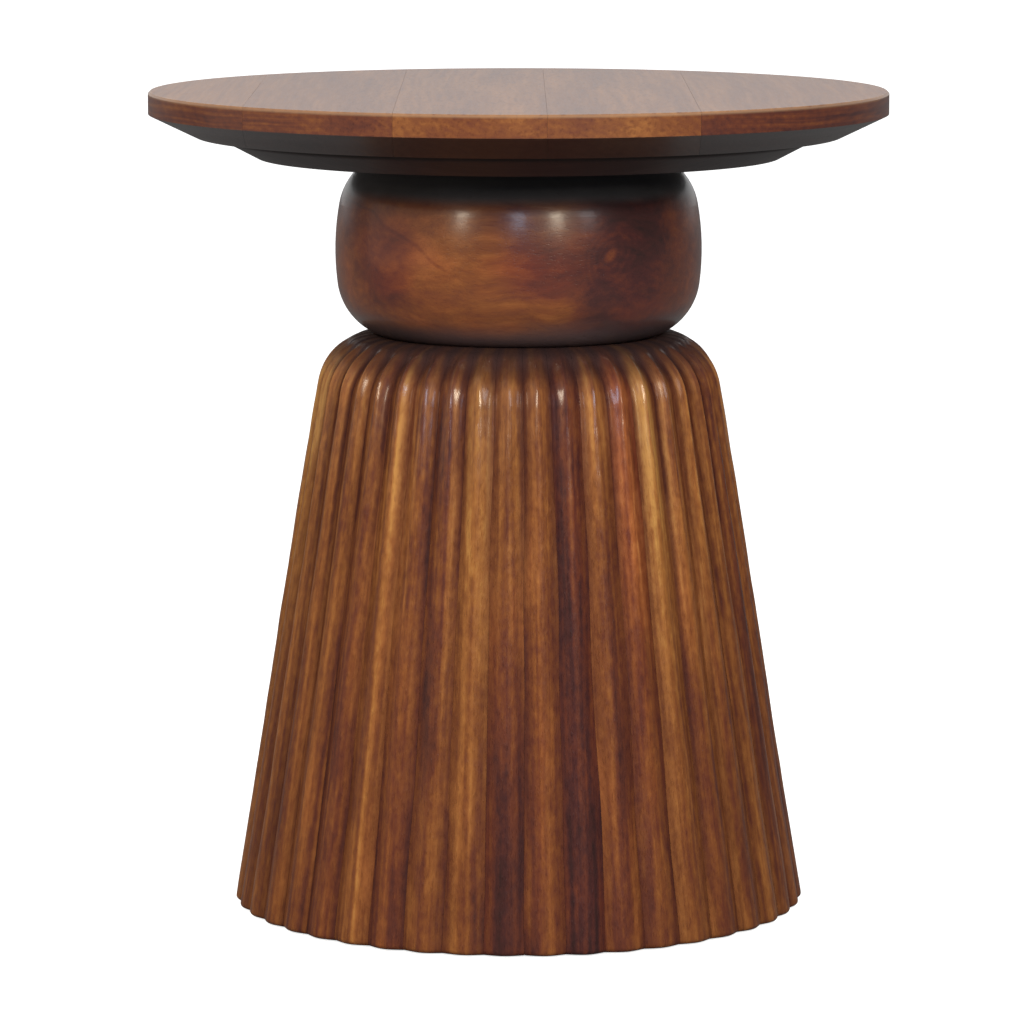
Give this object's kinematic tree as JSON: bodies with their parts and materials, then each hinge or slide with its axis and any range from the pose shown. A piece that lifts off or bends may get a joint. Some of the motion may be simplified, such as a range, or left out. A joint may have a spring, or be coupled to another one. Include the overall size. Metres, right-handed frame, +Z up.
{
  "type": "side table",
  "caption": "Round wooden side table: bevelled disc top on a turned drum neck over a flared, pleated skirt of carved staves.",
  "frame": {"origin": "centre of the bottom, on the floor below the centre of the round top", "axes": "+Z up along the table's turning axis, -Y towards the viewer, the top's boards run along Y"},
  "size_m": [0.45, 0.45, 0.5],
  "materials": {
    "top_wood": "chestnut stain under satin lacquer",
    "skirt_wood": "carved, chestnut stain under satin lacquer",
    "under_disc_wood": "dark chestnut stain under satin lacquer",
    "neck_wood": "turned, chestnut stain under satin lacquer",
    "head_wood": "chestnut stain under satin lacquer",
    "board_wood": "sawn, thin stain",
    "dowel_wood": "bare beech",
    "zinc_steel": "zinc plated",
    "felt": "pressed brown felt"
  },
  "bodies": {
    "root": {"board_screws": "zinc_steel", "bottom_board": "board_wood", "floor_pads": "felt", "neck_dowels": "dowel_wood", "neck_drum": "neck_wood", "rod_nut": "zinc_steel", "skirt_head": "head_wood", "skirt_stave_01": "skirt_wood", "skirt_stave_02": "skirt_wood", "skirt_stave_03": "skirt_wood", "skirt_stave_04": "skirt_wood", "skirt_stave_05": "skirt_wood", "skirt_stave_06": "skirt_wood", "skirt_stave_07": "skirt_wood", "skirt_stave_08": "skirt_wood", "skirt_stave_09": "skirt_wood", "skirt_stave_10": "skirt_wood", "skirt_stave_11": "skirt_wood", "skirt_stave_12": "skirt_wood", "skirt_stave_13": "skirt_wood", "skirt_stave_14": "skirt_wood", "skirt_stave_15": "skirt_wood", "skirt_stave_16": "skirt_wood", "skirt_stave_17": "skirt_wood", "skirt_stave_18": "skirt_wood", "skirt_stave_19": "skirt_wood", "skirt_stave_20": "skirt_wood", "skirt_stave_21": "skirt_wood", "skirt_stave_22": "skirt_wood", "skirt_stave_23": "skirt_wood", "skirt_stave_24": "skirt_wood", "skirt_stave_25": "skirt_wood", "skirt_stave_26": "skirt_wood", "skirt_stave_27": "skirt_wood", "skirt_stave_28": "skirt_wood", "skirt_stave_29": "skirt_wood", "skirt_stave_30": "skirt_wood", "skirt_stave_31": "skirt_wood", "skirt_stave_32": "skirt_wood", "skirt_stave_33": "skirt_wood", "skirt_stave_34": "skirt_wood", "skirt_stave_35": "skirt_wood", "skirt_stave_36": "skirt_wood", "skirt_stave_37": "skirt_wood", "skirt_stave_38": "skirt_wood", "skirt_stave_39": "skirt_wood", "skirt_stave_40": "skirt_wood", "skirt_stave_41": "skirt_wood", "skirt_stave_42": "skirt_wood", "skirt_stave_43": "skirt_wood", "skirt_stave_44": "skirt_wood", "tee_nut": "zinc_steel", "tie_rod": "zinc_steel", "top_board_1": "top_wood", "top_board_2": "top_wood", "top_board_3": "top_wood", "top_board_4": "top_wood", "top_board_5": "top_wood", "top_screws": "zinc_steel", "under_disc": "under_disc_wood"}
  },
  "joints": []
}
